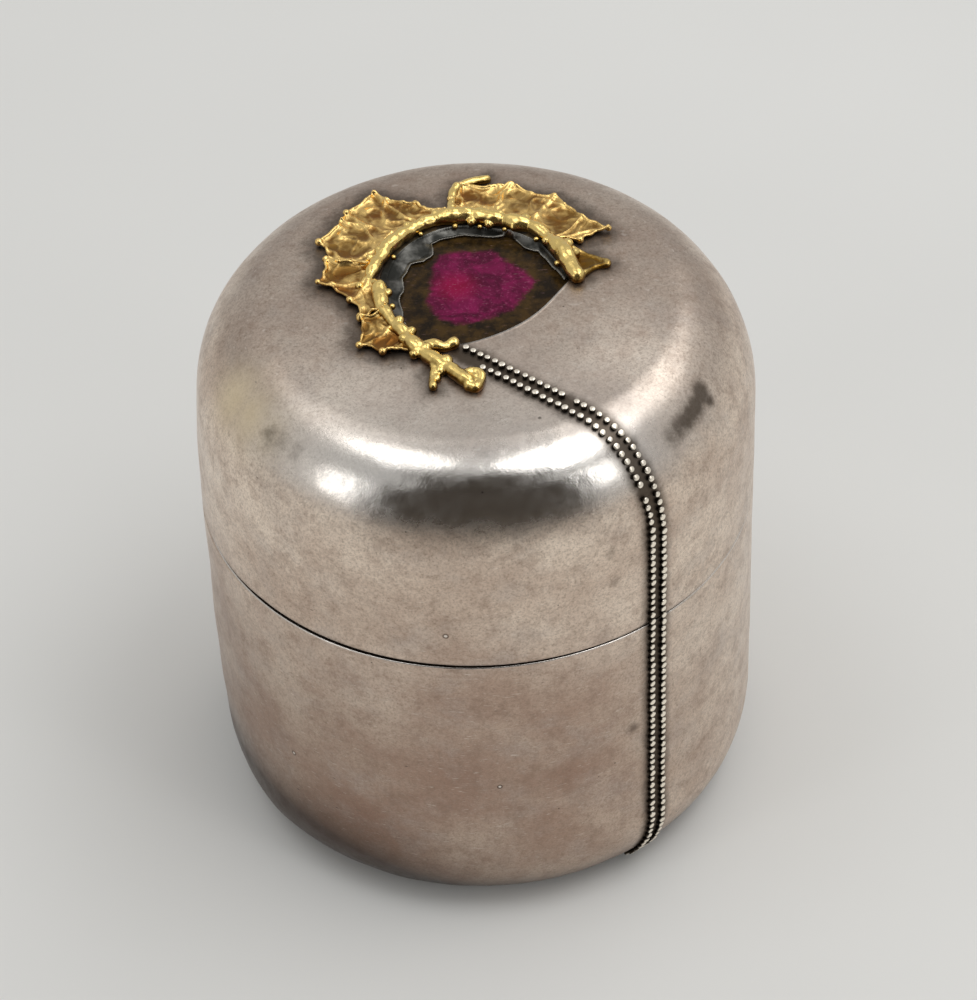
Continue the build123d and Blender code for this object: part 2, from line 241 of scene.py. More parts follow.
class Dome:
    """Shoulder and crown of the lid, some way in from its outside."""

    def __init__(self, inset):
        self.width = SHOULDER_WIDTH - inset
        self.height = SHOULDER_HEIGHT - inset
        self.shoulder_r = OUTER_RADIUS - SHOULDER_WIDTH
        self.join_r = self.shoulder_r + self.width * math.cos(SHOULDER_SWEEP)
        join_z = WALL_TOP_Z + self.height * math.sin(SHOULDER_SWEEP)
        slope = math.atan(self.height / self.width / math.tan(SHOULDER_SWEEP))
        self.ball = self.join_r / math.sin(slope)
        self.centre_z = join_z - self.ball * math.cos(slope)

    def crown_z(self, r):
        return self.centre_z + np.sqrt(self.ball**2 - np.minimum(r, self.join_r)**2)

    def shoulder(self, angle):
        r = self.shoulder_r + self.width * np.cos(angle)
        z = WALL_TOP_Z + self.height * np.sin(angle)
        out, up = np.cos(angle) / self.width, np.sin(angle) / self.height
        size = np.hypot(out, up)
        return r, z, out / size, up / size


OUTSIDE = Dome(0.0)
INSIDE = Dome(LID_WALL)


def foot(angle):
    """Radius, height and way out of the round of the foot, from its top down to the flat."""
    out, down = np.cos(angle) / FOOT_WIDTH, np.sin(angle) / FOOT_HEIGHT
    size = np.hypot(out, down)
    r = OUTER_RADIUS - FOOT_WIDTH + FOOT_WIDTH * np.cos(angle)
    return r, FOOT_HEIGHT * (1 - np.sin(angle)), out / size, -down / size


def over_crown(plan, height):
    """Height of points some way over the crown."""
    return OUTSIDE.crown_z(np.hypot(plan[..., 0], plan[..., 1])) + height


def wobble(points, scale, seed):
    """Smooth noise from -1 to 1 at each point."""
    shifted = np.asarray(points) / scale + np.array([seed, -seed, 0.5 * seed])
    return np.array([noise.noise(Vector(p)) for p in shifted])


def uneven(points, normals):
    """Slight unevenness of hand-raised sheet."""
    lift = sum(height * wobble(points, length, seed) for height, length, seed in WAVES)
    azimuth = np.degrees(np.arctan2(points[:, 1], points[:, 0])) % 360
    for depth, heading, spread, z, reach in DENTS:
        lift += depth * np.exp(-((azimuth - heading) / spread)**2 - ((points[:, 2] - z) / reach)**2)
    return points + normals * lift[:, None]


def window_ring(angles, distance):
    """Outline of the window, or one some way outside it."""
    line = np.vstack([curve(WINDOW_LOWER, FINE_STEPS), curve(WINDOW_UPPER, FINE_STEPS)]) - WINDOW_CENTRE
    turn = np.arctan2(line[:, 1], line[:, 0])
    order = np.argsort(turn)
    reach = np.interp(angles, turn[order], np.hypot(line[:, 0], line[:, 1])[order], period=2 * math.pi)
    return WINDOW_CENTRE + (reach + distance)[:, None] * np.stack([np.cos(angles), np.sin(angles)], 1)


def about_window(plan, share):
    """Points drawn in or out from the middle of the window."""
    return WINDOW_CENTRE + (plan - WINDOW_CENTRE) * share


def line_gap(points, line):
    """Distance from each point to a line of points."""
    best = np.full(len(points), np.inf)
    for a, b in zip(line, line[1:]):
        along = b - a
        share = np.clip(((points - a) @ along) / (along @ along), 0, 1)
        best = np.minimum(best, np.hypot(*(points - a - share[:, None] * along).T))
    return best


def inside(points, outline):
    """Which points lie inside a closed outline."""
    x, y = points[:, 0], points[:, 1]
    hit = np.zeros(len(points), bool)
    for (x0, y0), (x1, y1) in zip(outline, np.roll(outline, -1, axis=0)):
        if y0 != y1:
            hit ^= ((y0 > y) != (y1 > y)) & (x < (x1 - x0) * (y - y0) / (y1 - y0) + x0)
    return hit


# Meshes

def smooth(mesh):
    mesh.polygons.foreach_set("use_smooth", [True] * len(mesh.polygons))


def add_object(name, data):
    obj = bpy.data.objects.new(name, data)
    bpy.context.scene.collection.objects.link(obj)
    return obj


def add_mesh(name, verts, faces):
    """New object from points in millimetres."""
    mesh = bpy.data.meshes.new(name)
    mesh.from_pydata((np.asarray(verts) * MM).tolist(), [], faces)
    mesh.update()
    smooth(mesh)
    return add_object(name, mesh)


def ring_faces(rings, columns, closed):
    """Quads between rings of points; closed joins the last ring to the first."""
    faces = []
    for i in range(rings if closed else rings - 1):
        j = (i + 1) % rings
        for k in range(columns):
            m = (k + 1) % columns
            faces.append((i * columns + k, i * columns + m, j * columns + m, j * columns + k))
    return faces


def attribute(obj, name, values):
    """Number at each vertex for the materials."""
    layer = obj.data.attributes.new(name, "FLOAT", "POINT")
    layer.data.foreach_set("value", np.asarray(values, dtype=np.float32))


def ball_template(subdivisions):
    ball = bmesh.new()
    bmesh.ops.create_icosphere(ball, subdivisions=subdivisions, radius=1.0)
    verts = np.array([v.co[:] for v in ball.verts])
    faces = np.array([[v.index for v in f.verts] for f in ball.faces])
    ball.free()
    return verts, faces


def balls_mesh(name, balls):
    """Many overlapping balls: x, y, z and radius."""
    base, tris = ball_template(subdivisions=2)
    verts = np.vstack([np.array(ball[:3]) + base * ball[3] for ball in balls])
    faces = np.vstack([tris + i * len(base) for i in range(len(balls))])
    return add_mesh(name, verts, faces.tolist())


def evaluated(obj):
    """Mesh of an object with its modifiers applied."""
    bpy.context.view_layer.update()
    mesh = bpy.data.meshes.new_from_object(obj.evaluated_get(bpy.context.evaluated_depsgraph_get()))
    obj.modifiers.clear()
    return mesh


def vertex_values(obj, key):
    values = np.empty(len(obj.data.vertices) * 3)
    obj.data.vertices.foreach_get(key, values)
    return values.reshape(-1, 3)


def melted(obj, voxel, rounds, bumps, seed):
    """One skin over overlapping lumps, smoothed, with a little unevenness; gives its points."""
    skin = obj.modifiers.new("skin", "REMESH")
    skin.mode = "VOXEL"
    skin.voxel_size = voxel * MM
    relax = obj.modifiers.new("relax", "SMOOTH")
    relax.factor = 0.5
    relax.iterations = rounds
    obj.data = evaluated(obj)
    places, normals = vertex_values(obj, "co") / MM, vertex_values(obj, "normal")
    for scale, depth in bumps:
        places = places + normals * (depth * wobble(places, scale, seed))[:, None]
    obj.data.vertices.foreach_set("co", (places * MM).ravel())
    obj.data.update()
    smooth(obj.data)
    return places


def sheet(name, outline, height, spacing, thickness):
    """Grid of quads inside an outline, lifted by a height function and thickened downwards."""
    low, high = outline.min(0) - spacing, outline.max(0) + spacing
    nx, ny = np.ceil((high - low) / spacing).astype(int) + 1
    gx, gy = np.meshgrid(low[0] + np.arange(nx) * spacing, low[1] + np.arange(ny) * spacing, indexing="ij")
    plan = np.column_stack([gx.ravel(), gy.ravel()])
    keep = inside(plan, outline)
    index = np.full(len(plan), -1)
    index[keep] = np.arange(keep.sum())
    grid = index.reshape(nx, ny)
    corners = np.stack([grid[:-1, :-1], grid[1:, :-1], grid[1:, 1:], grid[:-1, 1:]], -1).reshape(-1, 4)
    faces = corners[(corners >= 0).all(1)].tolist()
    plan = plan[keep]
    obj = add_mesh(name, np.column_stack([plan, height(plan)]), faces)
    solid = obj.modifiers.new("thick", "SOLIDIFY")
    solid.thickness = thickness * MM
    solid.offset = -1.0
    obj.data = evaluated(obj)
    return obj


# Tarnish and painted light on the silver: dark near the gold and the granules, dark patches, a yellow
# patch, a clean front shoulder, pale and brown patches partly painted light, and painted shadow low on the
# body

FAR = 99.0
GOLD_DROP = 4.0
CLEAN_SPREAD = 47.0
CLEAN_Z = 80.8
CLEAN_REACH = 3.9
AGE_TOP_Z = 62.0
AGE_FULL_Z = 34.0
AGE_HEADING = -58.0
# Painted contact shadow round the foot, and painted shade low on the left of the body: heights and strength
FOOT_SHADOW_Z = 10.0
LEFT_PAINTED_SHADE = 4.0
LEFT_SHADE_Z = 24.0
CROWN_Z = 80.0
CROWN_REACH = 4.0
HEADING = np.array([math.cos(ROW_HEADING), math.sin(ROW_HEADING)])
ACROSS = np.array([-HEADING[1], HEADING[0]])


def gold_lines():
    rods = [np.array(line)[:, :2] for line in (ARC, BRANCH, FORK, SPUR, PRONG, LOOP)]
    return rods + [np.vstack([edge, side, edge[:1]]) for _, edge, side, _, _ in LEAVES]


def gold_distance(points):
    """Distance to the gold seen from above, for points on the crown."""
    gap = np.full(len(points), FAR)
    crown = points[:, 2] > OUTSIDE.crown_z(OUTSIDE.join_r) - GOLD_DROP
    gap[crown] = np.min([line_gap(points[crown][:, :2], line) for line in gold_lines()], axis=0)
    return gap


def row_distance(points):
    ahead = points[:, :2] @ HEADING
    beside = np.abs(points[:, :2] @ ACROSS - ROW_OFFSET)
    return np.hypot(np.maximum(0.0, beside - ROW_SPACING / 2), np.maximum(0.0, RIGHT_ROW_START - ahead))


def patches(points, spots):
    """Strength of the nearest soft spots at each point."""
    total = np.zeros(len(points))
    for x, y, z, reach, strength in spots:
        gap = np.linalg.norm(points - np.array([x, y, z]), axis=1)
        total = np.maximum(total, strength * np.exp(-(gap / reach)**2))
    return total


def tarnish_and_painted_light(obj, points, outside):
    """Tarnish and painted light and shade of the first vertices, which are the outside; the rest stays
    plain.
    """
    shown = np.arange(len(points)) < outside
    azimuth = np.degrees(np.arctan2(points[:, 0], -points[:, 1]))
    z = points[:, 2]
    clean = np.exp(-(azimuth / CLEAN_SPREAD)**4 - ((z - CLEAN_Z) / CLEAN_REACH)**4)
    attribute(obj, "gold_gap", np.where(shown, gold_distance(points), FAR))
    attribute(obj, "row_gap", np.where(shown, row_distance(points), FAR))
    for name, spots in (("dark_patch", DARK_PATCHES), ("yellow", YELLOW_PATCHES), ("pale_and_highlight", PALES_AND_HIGHLIGHTS), ("brown_and_reflection", BROWNS_AND_REFLECTIONS)):
        attribute(obj, name, shown * patches(points, spots))
    attribute(obj, "clean", shown * clean)
    darker_side = shown * (0.5 + 0.5 * np.cos(np.radians(azimuth - AGE_HEADING)))
    attribute(obj, "age", darker_side * np.clip((AGE_TOP_Z - z) / (AGE_TOP_Z - AGE_FULL_Z), 0, 1))
    # Painted shade: darker low down on the left of the body, the side away from the light
    left_shade = np.minimum(LEFT_PAINTED_SHADE * darker_side**6 * np.clip(1 - z / LEFT_SHADE_Z, 0, 1)**2, 1.0)
    # Painted contact shadow: darker towards the floor round the foot
    low = np.maximum(left_shade, shown * np.clip(1 - z / FOOT_SHADOW_Z, 0, 1)**2)
    underneath = np.minimum(np.hypot(points[:, 0], points[:, 1]) / (OUTER_RADIUS - FOOT_WIDTH), 1.0)
    attribute(obj, "foot", low * underneath)
    attribute(obj, "crown", shown * np.clip((z - CROWN_Z) / CROWN_REACH, 0, 1))


# Silver box

class Rings:
    """Rings of points from one profile step to the next, with the way out of the surface."""

    def __init__(self):
        self.angles = around(COLUMNS)
        self.unit = np.stack([np.cos(self.angles), np.sin(self.angles)], 1)
        self.points = []
        self.normals = []
        self.grime = []
        self.rub = []

    def add(self, plan, z, out=0.0, up=0.0, grime=0.0, rub=0.0):
        self.points.append(np.column_stack([plan, np.broadcast_to(z, len(plan))]))
        self.normals.append(np.column_stack([self.unit * out, np.full(COLUMNS, up)]))
        self.grime.append(grime)
        self.rub.append(rub)

    def round(self, r, z, *way, **marks):
        self.add(self.unit * max(r, SMALLEST_RING), z, *way, **marks)

    def so_far(self):
        return len(self.points) * COLUMNS

    def mesh(self, name, closed):
        points = uneven(np.vstack(self.points), np.vstack(self.normals))
        obj = add_mesh(name, points, ring_faces(len(self.points), COLUMNS, closed))
        attribute(obj, "grime", np.repeat(self.grime, COLUMNS))
        attribute(obj, "rub", np.repeat(self.rub, COLUMNS))
        return obj, points


def lid():
    rings = Rings()
    edge = window_ring(rings.angles, 0.0)
    away = (edge - WINDOW_CENTRE) / np.hypot(*(edge - WINDOW_CENTRE).T)[:, None]
    start = edge + away * LID_RIM_BEVEL
    for share in np.linspace(0, 1, CROWN_RINGS):
        plan = start * (1 - share) + rings.unit * OUTSIDE.join_r * share
        worn = 1.0 if share == 0 else 0.0
        rings.add(plan, over_crown(plan, EDGE_RISE * worn), 0.0, 1.0, rub=worn)
    for angle in np.linspace(SHOULDER_SWEEP, 0, SHOULDER_RINGS)[1:]:
        rings.round(*OUTSIDE.shoulder(angle))
    swing = 0.5 + 0.5 * np.cos(rings.angles - GAP_HEADING)
    rim_z = SEAM_Z + GAP_SMALL + GAP_EXTRA * swing**2
    for share in np.linspace(0, 1, LID_WALL_RINGS)[1:]:
        rings.round(OUTER_RADIUS, WALL_TOP_Z + (rim_z + LID_RIM_BEVEL - WALL_TOP_Z) * share, 1.0, 0.0)
    rings.round(OUTER_RADIUS - LID_RIM_BEVEL, rim_z)
    outside = rings.so_far()
    # The lid's rim faces in the seam: painted dark, partly grime and partly the shade of the gap
    rings.round(OUTER_RADIUS - LID_GRIME_AND_SHADE_IN, rim_z, grime=1.0)
    rings.round(OUTER_RADIUS - LID_WALL, rim_z, grime=1.0)
    rings.round(OUTER_RADIUS - LID_WALL, rim_z + GRIME_AND_SHADE_DEPTH)
    rings.round(OUTER_RADIUS - LID_WALL, WALL_TOP_Z)
    for angle in np.linspace(0, SHOULDER_SWEEP, INNER_ROUND_RINGS)[1:]:
        rings.round(*INSIDE.shoulder(angle)[:2])
    for share in np.linspace(0, 1, INNER_CROWN_RINGS)[1:]:
        plan = rings.unit * INSIDE.join_r * (1 - share) + edge * share
        rings.add(plan, INSIDE.crown_z(np.hypot(*plan.T)))
    rings.add(edge, over_crown(edge, -LID_RIM_BEVEL))
    obj, points = rings.mesh("lid_dome", True)
    tarnish_and_painted_light(obj, points, outside)
    return obj


def body():
    rings = Rings()
    foot_r = OUTER_RADIUS - FOOT_WIDTH
    for share in (0.0, 0.5):
        rings.round(foot_r * share, 0.0)
    for angle in np.linspace(math.pi / 2, 0, FOOT_RINGS):
        r, z, out, up = foot(angle)
        # The flat underside stays level, so the unevenness starts on the round of the foot
        hold = min(1.0, 2 * out)
        rings.round(r, z, hold * out, hold * up)
    wall_z = SEAM_Z - LIP_DROP - LIP_HEIGHT
    for z in np.linspace(FOOT_HEIGHT, wall_z, BODY_WALL_RINGS)[1:]:
        rings.round(OUTER_RADIUS, z, 1.0, 0.0)
    for angle in np.linspace(0, math.pi / 2, LIP_RINGS)[1:]:
        r = OUTER_RADIUS - LIP_WIDTH * (1 - math.cos(angle))
        rings.round(r, wall_z + LIP_HEIGHT * math.sin(angle), rub=math.sin(angle))
    outside = rings.so_far()
    inner = OUTER_RADIUS - BODY_WALL
    # The body's rim faces in the seam: painted dark, partly grime and partly the shade of the gap
    rings.round(OUTER_RADIUS - LIP_GRIME_AND_SHADE_IN, SEAM_Z - LIP_DROP, grime=1.0)
    rings.round(OUTER_RADIUS - GRIME_AND_SHADE_REACH, SEAM_Z, grime=1.0)
    rings.round(inner, SEAM_Z, grime=1.0)
    rings.round(inner, SEAM_Z - GRIME_AND_SHADE_DEPTH)
    rings.round(inner, FOOT_HEIGHT)
    for angle in np.linspace(0, math.pi / 2, INNER_ROUND_RINGS)[1:]:
        r = foot_r + (FOOT_WIDTH - BODY_WALL) * math.cos(angle)
        rings.round(r, FOOT_HEIGHT - (FOOT_HEIGHT - BODY_FLOOR) * math.sin(angle))
    for share in (0.5, 0.0):
        rings.round(foot_r * share, BODY_FLOOR)
    obj, points = rings.mesh("body_cup", False)
    tarnish_and_painted_light(obj, points, outside)
    return obj


def collar():
    rings = Rings()
    inner, lead = COLLAR_RADIUS - COLLAR_WALL, COLLAR_LEAD
    low, high = SEAM_Z - COLLAR_DEPTH, SEAM_Z + COLLAR_RISE
    rings.round(inner, low)
    rings.round(COLLAR_RADIUS, low)
    for height, grime in COLLAR_GRIME_AND_SHADE:
        rings.round(COLLAR_RADIUS, SEAM_Z + height, grime=grime)
    for r, z in ((COLLAR_RADIUS, high - lead), (COLLAR_RADIUS - lead, high), (inner + lead / 3, high),
                 (inner, high - lead / 3)):
        rings.round(r, z)
    return rings.mesh("inner_collar", True)[0]


# Granules

LID_WALL_STEPS = 400
BODY_WALL_STEPS = 600
ROUND_STEPS = 500


def wall_profile(end_z, steps):
    z = np.linspace(SEAM_Z, end_z, steps)
    ones = np.ones(steps)
    return np.column_stack([ones * OUTER_RADIUS, z, ones, 0 * ones])


def lid_profile():
    """Radius, height and way out of the lid, from the seam up to the crown."""
    wall = wall_profile(WALL_TOP_Z, LID_WALL_STEPS)
    shoulder = np.column_stack(OUTSIDE.shoulder(np.linspace(0, SHOULDER_SWEEP, ROUND_STEPS)[1:]))
    r = np.linspace(OUTSIDE.join_r, abs(LEFT_ROW), ROUND_STEPS)[1:]
    out = r / OUTSIDE.ball
    crown = np.column_stack([r, OUTSIDE.crown_z(r), out, np.sqrt(1 - out**2)])
    return np.vstack([wall, shoulder, crown])


def body_profile():
    """Radius, height and way out of the body, from the seam down to the foot."""
    wall = wall_profile(FOOT_HEIGHT, BODY_WALL_STEPS)
    return np.vstack([wall, np.column_stack(foot(np.linspace(0, math.pi / 2, ROUND_STEPS)[1:]))])


def granules(name, profile, sideways, start, lost, seed):
    """One row of slightly uneven balls along a straight line seen from above."""
    profile = profile[profile[:, 0] > abs(sideways)]
    ahead = np.sqrt(profile[:, 0]**2 - sideways**2)
    keep = (ahead >= start) & (profile[:, 1] >= GRANULE_LOWEST_Z)
    profile, ahead = profile[keep], ahead[keep]
    plan = ahead[:, None] * HEADING + sideways * ACROSS
    points = np.column_stack([plan, profile[:, 1]])
    normals = np.column_stack([plan * (profile[:, 2] / profile[:, 0])[:, None], profile[:, 3]])
    points = uneven(points, normals)
    run = run_along(points)
    rng = random.Random(seed)
    base, tris = ball_template(subdivisions=3)
    verts, faces, rise = [], [], []
    for index in range(int(run[-1] / GRANULE_PITCH + 0.5)):
        if index == lost:
            continue
        place = (index + 0.5) * GRANULE_PITCH + rng.uniform(-GRANULE_SLIP, GRANULE_SLIP)
        spot, up = at(place, run, points), at(place, run, normals)
        radius = GRANULE_RADIUS * rng.uniform(*GRANULE_SIZES)
        ball = base * radius * np.array([rng.uniform(*GRANULE_STRETCH) for _ in range(3)])
        shift = np.array([*ACROSS, 0.0]) * rng.uniform(-GRANULE_SHIFT, GRANULE_SHIFT)
        faces += (tris + len(verts) * len(base)).tolist()
        height = (ball @ up) / radius
        worn = GRANULE_WEAR * radius * np.maximum(height - GRANULE_WEAR_FROM, 0.0)
        verts.append(spot + up * radius * GRANULE_SEAT + shift + ball - worn[:, None] * up)
        rise.append(height * 0.5 + 0.5)
    obj = add_mesh(name, np.vstack(verts), faces)
    attribute(obj, "rise", np.concatenate(rise))
    return obj


# Melted gold: rods, the film across the loop, beads and leaves

# Skins: voxel, rounds of smoothing, then length and depth of each bump
ROD_SKIN = (0.11, 14, [(2.2, 0.13), (1.0, 0.06), (0.5, 0.015)])
DROPLET_SKIN = (0.08, 4, [(0.6, 0.04)])
LEAF_SKIN = (0.1, 2, [(0.9, 0.03)])

PHASES = (0, 50)
ROD_SPACING = 0.2
ROD_SWELL = 0.28
ROD_SWELL_LENGTH = 1.7
ROD_SWAY = 0.28
ROD_SWAY_LENGTH = 2.3
ROD_SEAT = 0.6
FILM_FROM = (14.0, 3.0)
FILM_TO = (20.0, 10.0)
FILM_SPACING = 0.24
FILM_RADIUS = 0.22
FILM_HEIGHT = 0.12
FILM_DULL_HEIGHT = 0.3
FILM_CONTRAST = 1.3
DROPLET_HEIGHT = 0.32
DROPLET_RADII = (0.38, 0.54)
LEAF_SAG = 0.5
LEAF_SWAY = 0.2
LEAF_STEPS = 5
SWAY_STEP = 1.1
LEAF_GRID = 0.15
LEAF_THICKNESS = 0.3
LEAF_LIFT = 0.3
WARP_LENGTH = 4.0
WAVE_LENGTH = 4.5
WAVE_LIFT = 0.22
FOLD_LENGTH = 5.0
FOLD_WARP = 1.5
FOLD_LIFT = 0.36
CREASE_LENGTH = 2.3
CREASE_WARP = 0.8
CREASE_LIFT = 0.2
GRAIN_LENGTH = 0.8
GRAIN_LIFT = 0.05
HEM_LIFT = 0.3
HEM_REACH = 0.4
HEM_RADIUS = 0.22
HEM_SWELL = 0.09
HEM_SWELL_STEPS = 4.0
HEM_DROP = 0.12
SEAM_LIFT = 0.55
SEAM_REACH = 0.9
VEIN_SWAY = 0.25
VEIN_STEPS = 4
VEIN_LIFT = 0.3
VEIN_REACH = 0.32
KNOB_HEIGHT = 0.65
KNOB_RADII = (0.42, 0.62)


def lump(x, y, height, radius):
    """Ball some way over the crown."""
    return x, y, over_crown(np.array([x, y]), height), radius


def rod_balls(points, rng):
    """Overlapping balls along a smooth line, swelling, thinning and swaying."""
    line = curve(points, FINE_STEPS)
    run = run_along(line[:, :2])
    phase = rng.uniform(*PHASES)
    balls = []
    for place in np.arange(0, run[-1], ROD_SPACING):
        x, y, radius = at(place, run, line)
        swell, sway = place / ROD_SWELL_LENGTH + phase, place / ROD_SWAY_LENGTH + phase
        radius *= 1 + ROD_SWELL * noise.noise(Vector((swell, 0.3, 0.7)))
        x += ROD_SWAY * noise.noise(Vector((sway, 5.3, 0.1)))
        y += ROD_SWAY * noise.noise(Vector((sway, 9.7, 0.4)))
        balls.append(lump(x, y, ROD_SEAT * radius, radius))
    return balls


def rods(name, lines, lumps, seed, film=(), painted_light=0.0):
    """One skin over rods, their lumps and any film between them."""
    rng = random.Random(seed)
    balls = [ball for line in lines for ball in rod_balls(line, rng)]
    balls += [lump(*numbers) for numbers in lumps]
    balls += film
    obj = balls_mesh(name, balls)
    places = melted(obj, *ROD_SKIN, seed)
    # Painted light and shade: rod tops that face up are bright, flanks and undersides dark
    crest_and_painted_light = vertex_values(obj, "normal")[:, 2]
    if film:
        crest_and_painted_light = FILM_CONTRAST * (places[:, 2] - over_crown(places[:, :2], FILM_DULL_HEIGHT))
    # The piece's painted light lifts or lowers its whole brightness for the light that falls on it
    attribute(obj, "crest_and_painted_light", crest_and_painted_light + painted_light)
    return obj


def loop_film():
    """Thin skin of gold left across the loop."""
    outline = np.array([point[:2] for point in LOOP])
    gx, gy = np.meshgrid(*(np.arange(*ends, FILM_SPACING) for ends in zip(FILM_FROM, FILM_TO)))
    plan = np.column_stack([gx.ravel(), gy.ravel()])
    return [lump(x, y, FILM_HEIGHT, FILM_RADIUS) for x, y in plan[inside(plan, outline)]]


def droplets():
    rng = random.Random(4)
    balls = [lump(x, y, DROPLET_HEIGHT, rng.uniform(*DROPLET_RADII)) for x, y in DROPLETS]
    obj = balls_mesh("gold_beads", balls)
    melted(obj, *DROPLET_SKIN, 2)
    # Painted light and shade: bead tops that face up are bright, their flanks dark
    attribute(obj, "crest_and_painted_light", vertex_values(obj, "normal")[:, 2])
    return obj


def swayed(corners, sag, sway, rng):
    """Edge that sags inwards between its corners and sways a little."""
    points = []
    for (x0, y0), (x1, y1) in zip(corners, corners[1:]):
        length = math.hypot(x1 - x0, y1 - y0)
        side_x, side_y = -(y1 - y0) / length, (x1 - x0) / length
        steps = max(3, round(length / SWAY_STEP))
        for i in range(steps):
            share = i / steps
            bow = sag * 4 * share * (1 - share) + (rng.uniform(-sway, sway) if i else 0)
            points.append((x0 + (x1 - x0) * share + side_x * bow, y0 + (y1 - y0) * share + side_y * bow))
    return points + [corners[-1]]


def leaf(name, corners, side, seed, painted_light):
    """Thin crinkled skin of gold with veins, a raised wavy hem and knobs at its corners."""
    rng = random.Random(seed)
    edge = curve(swayed(corners, LEAF_SAG, LEAF_SWAY, rng), LEAF_STEPS)
    seam = np.array([corners[-1], *side, corners[0]])
    veins = []
    for corner in corners[1:-1]:
        root = seam[np.argmin(np.hypot(*(seam - np.array(corner)).T))]
        veins.append(curve(swayed([tuple(root), corner], LEAF_SAG, VEIN_SWAY, rng), VEIN_STEPS))

    def height(plan):
        level = np.zeros(len(plan))
        flat = np.column_stack([plan, level])
        across, along = (wobble(flat, WARP_LENGTH, seed + more) for more in (0.0, 9.0))
        warp = np.column_stack([across, along, level])
        waves = wobble(flat, WAVE_LENGTH, seed + 3.0)
        folds = (1 - np.abs(wobble(flat + FOLD_WARP * warp, FOLD_LENGTH, seed)))**9
        creases = (1 - np.abs(wobble(flat + CREASE_WARP * warp, CREASE_LENGTH, seed + 5.0)))**6
        lift = LEAF_LIFT + WAVE_LIFT * waves + FOLD_LIFT * folds + CREASE_LIFT * creases
        lift += GRAIN_LIFT * wobble(flat, GRAIN_LENGTH, seed)
        hem = HEM_LIFT * np.exp(-line_gap(plan, edge) / HEM_REACH)
        lift += hem + SEAM_LIFT * np.exp(-line_gap(plan, seam) / SEAM_REACH)
        ribs = np.min([line_gap(plan, vein) for vein in veins], axis=0)
        return over_crown(plan, lift + VEIN_LIFT * np.exp(-(ribs / VEIN_REACH)**2))

    obj = sheet(name, np.vstack([edge, side]), height, LEAF_GRID, LEAF_THICKNESS)
    balls = []
    phase = rng.uniform(*PHASES)
    for index, ((x, y), z) in enumerate(zip(edge, height(edge))):
        swell = noise.noise(Vector((index / HEM_SWELL_STEPS + phase, 0.2, 0.9)))
        balls.append((x, y, z - HEM_DROP, HEM_RADIUS + HEM_SWELL * swell))
    for x, y in corners[1:-1]:
        balls.append(lump(x, y, KNOB_HEIGHT, rng.uniform(*KNOB_RADII)))
    rim = balls_mesh(name + "_rim", balls)
    joined = bmesh.new()
    joined.from_mesh(obj.data)
    joined.from_mesh(rim.data)
    joined.to_mesh(obj.data)
    joined.free()
    bpy.data.objects.remove(rim)
    places = melted(obj, *LEAF_SKIN, seed)
    # Higher parts of the leaf are lighter, plus its painted light for the light that falls on it
    attribute(obj, "crest_and_painted_light", places[:, 2] - over_crown(places[:, :2], 0.0) + painted_light)
    return obj


# Stone and its torn bezel

STONE_COLUMNS = 360
STONE_RINGS = 80
STONE_MIDDLE = 0.002
UNDERSIDE_MIDDLE = 0.01
STONE_CLEARANCE = 0.02
BEZEL_ENDS = (math.radians(6), math.radians(236))
BEZEL_STEPS = 300
BEZEL_LAP = 0.8
BEZEL_SWAY = 0.12
BEZEL_GRID = 0.09
BEZEL_THICKNESS = 0.2
BEZEL_OVER_CROWN = 0.16
BEZEL_OVER_STONE = 0.3
BEZEL_FALL = 1.3
BEZEL_MARGIN = 1.02
TINY = 1e-6
BUCKLE_LENGTH = 2.6
BUCKLE_LIFT = 0.08
CURL_LENGTH = 2.0
CURL_MEAN = 0.6
CURL_LIFT = 0.2
CURL_REACH = 0.5


def stone():
    """Slice under the window, with the depth inside its core and the distance to its heart."""
    rim = window_ring(around(STONE_COLUMNS), STONE_LAP)
    rings = []
    for share in np.linspace(STONE_MIDDLE, 1, STONE_RINGS):
        plan = about_window(rim, share)
        rings.append(np.column_stack([plan, INSIDE.crown_z(np.hypot(*plan.T)) - STONE_CLEARANCE]))
    under = np.full(STONE_COLUMNS, INSIDE.crown_z(0.0) - STONE_THICKNESS)
    for share in (1.0, UNDERSIDE_MIDDLE):
        rings.append(np.column_stack([about_window(rim, share), under]))
    points = np.vstack(rings)
    obj = add_mesh("stone_slice", points, ring_faces(len(rings), STONE_COLUMNS, False))
    core = np.array(STONE_CORE + STONE_CORE[:1])
    depth = line_gap(points[:, :2], core) * np.where(inside(points[:, :2], core), 1.0, -1.0)
    attribute(obj, "core", depth)
    attribute(obj, "heart", np.hypot(*(points[:, :2] - np.array(STONE_HEART)).T))
    return obj


